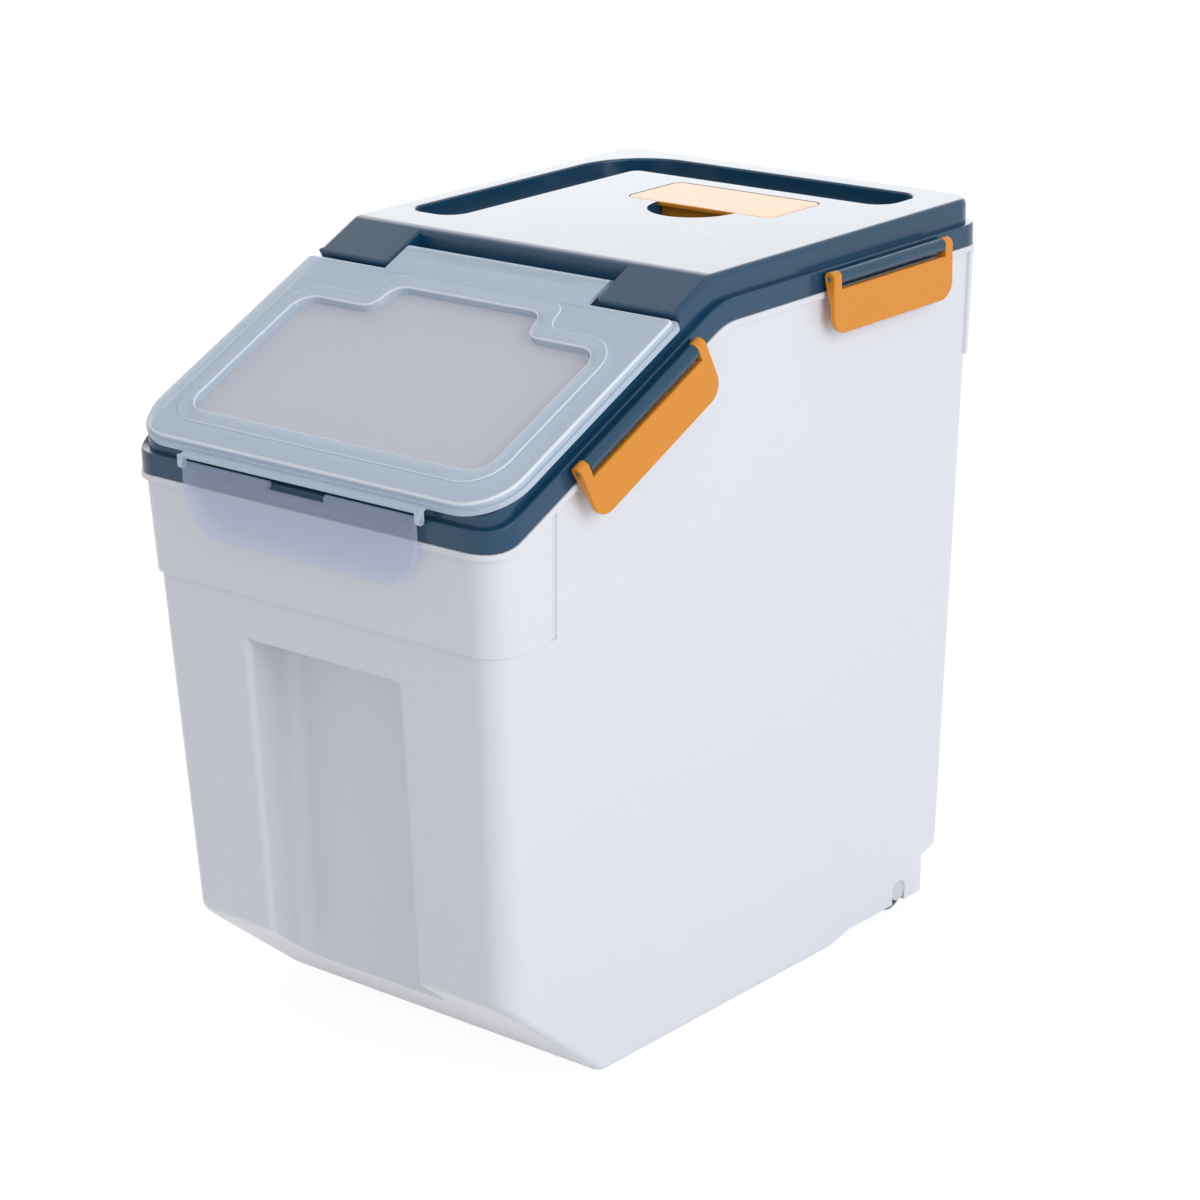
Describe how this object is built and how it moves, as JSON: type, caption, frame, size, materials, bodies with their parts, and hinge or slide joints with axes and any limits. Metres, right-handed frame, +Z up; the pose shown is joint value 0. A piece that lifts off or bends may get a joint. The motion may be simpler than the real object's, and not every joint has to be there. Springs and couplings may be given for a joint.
{
  "type": "wheeled rice bin",
  "caption": "Tapered rice bin on two rear wheels with a hand hold, a clip-down stepped lid, a sloped translucent flip lid with a front latch and a moisture box in the deck.",
  "frame": {"origin": "on the floor, at the middle of the whole part's plan", "axes": "+X to the bin's right, +Y to its back, +Z up; the front with the latch faces -Y"},
  "size_m": [0.2696, 0.404, 0.403],
  "materials": {
    "body_white": "smooth moulded",
    "lid_teal": "polished moulded",
    "flip_translucent": "translucent moulded",
    "orange_plastic": "smooth moulded",
    "seal_silicone": "soft matte",
    "pin_steel": "drawn",
    "axle_plastic": "moulded",
    "wheel_plastic": "moulded"
  },
  "bodies": {
    "bin": {"bin_shell": "body_white", "axle_left": "axle_plastic", "axle_right": "axle_plastic"},
    "wheel_left": {"wheel_left": "wheel_plastic"},
    "wheel_right": {"wheel_right": "wheel_plastic"},
    "lid": {"lid_frame": "lid_teal", "lid_seal": "seal_silicone", "flip_hinge_pin_left": "pin_steel", "flip_hinge_pin_right": "pin_steel", "clip_pin_front_left": "pin_steel", "clip_pin_front_right": "pin_steel", "clip_pin_rear_left": "pin_steel", "clip_pin_rear_right": "pin_steel"},
    "flip_lid": {"flip_lid": "flip_translucent", "flip_lid_seal": "seal_silicone"},
    "front_latch": {"front_latch": "flip_translucent"},
    "clip_front_left": {"clip_front_left": "orange_plastic"},
    "clip_front_right": {"clip_front_right": "orange_plastic"},
    "clip_rear_left": {"clip_rear_left": "orange_plastic"},
    "clip_rear_right": {"clip_rear_right": "orange_plastic"},
    "moisture_box": {"moisture_box": "orange_plastic"},
    "moisture_cover": {"moisture_box_cover": "orange_plastic"}
  },
  "joints": [
    {"name": "wheel_left_spin", "type": "hinge", "parent": "bin", "child": "wheel_left", "pos_m": [-0.0984, 0.1436, 0.0134], "axis": [1, 0, 0], "continuous": true},
    {"name": "wheel_right_spin", "type": "hinge", "parent": "bin", "child": "wheel_right", "pos_m": [0.0984, 0.1436, 0.0134], "axis": [1, 0, 0], "continuous": true},
    {"name": "lid_lift", "type": "slide", "parent": "bin", "child": "lid", "axis": [0, 0, 1], "range_m": [0, 0.12]},
    {"name": "flip_lid_hinge", "type": "hinge", "parent": "lid", "child": "flip_lid", "pos_m": [0, -0.0439, 0.39074], "axis": [-1, 0, 0], "range_deg": [0, 110]},
    {"name": "front_latch_hinge", "type": "hinge", "parent": "flip_lid", "child": "front_latch", "pos_m": [0, -0.1999, 0.3117], "axis": [-1, 0, 0], "range_deg": [-6, 95]},
    {"name": "clip_front_left_hinge", "type": "hinge", "parent": "lid", "child": "clip_front_left", "pos_m": [-0.131, -0.09628, 0.3519], "axis": [0, 0.9026, 0.4305], "range_deg": [-5, 105]},
    {"name": "clip_rear_left_hinge", "type": "hinge", "parent": "lid", "child": "clip_rear_left", "pos_m": [-0.131, 0.106, 0.3855], "axis": [0, 1, 0], "range_deg": [-5, 105]},
    {"name": "clip_front_right_hinge", "type": "hinge", "parent": "lid", "child": "clip_front_right", "pos_m": [0.131, -0.09628, 0.3519], "axis": [0, -0.9026, -0.4305], "range_deg": [-5, 105]},
    {"name": "clip_rear_right_hinge", "type": "hinge", "parent": "lid", "child": "clip_rear_right", "pos_m": [0.131, 0.106, 0.3855], "axis": [0, -1, 0], "range_deg": [-5, 105]},
    {"name": "moisture_box_lift", "type": "slide", "parent": "lid", "child": "moisture_box", "axis": [0, 0, 1], "range_m": [0, 0.06]},
    {"name": "moisture_cover_lift", "type": "slide", "parent": "moisture_box", "child": "moisture_cover", "axis": [0, 0, 1], "range_m": [0, 0.04]}
  ]
}
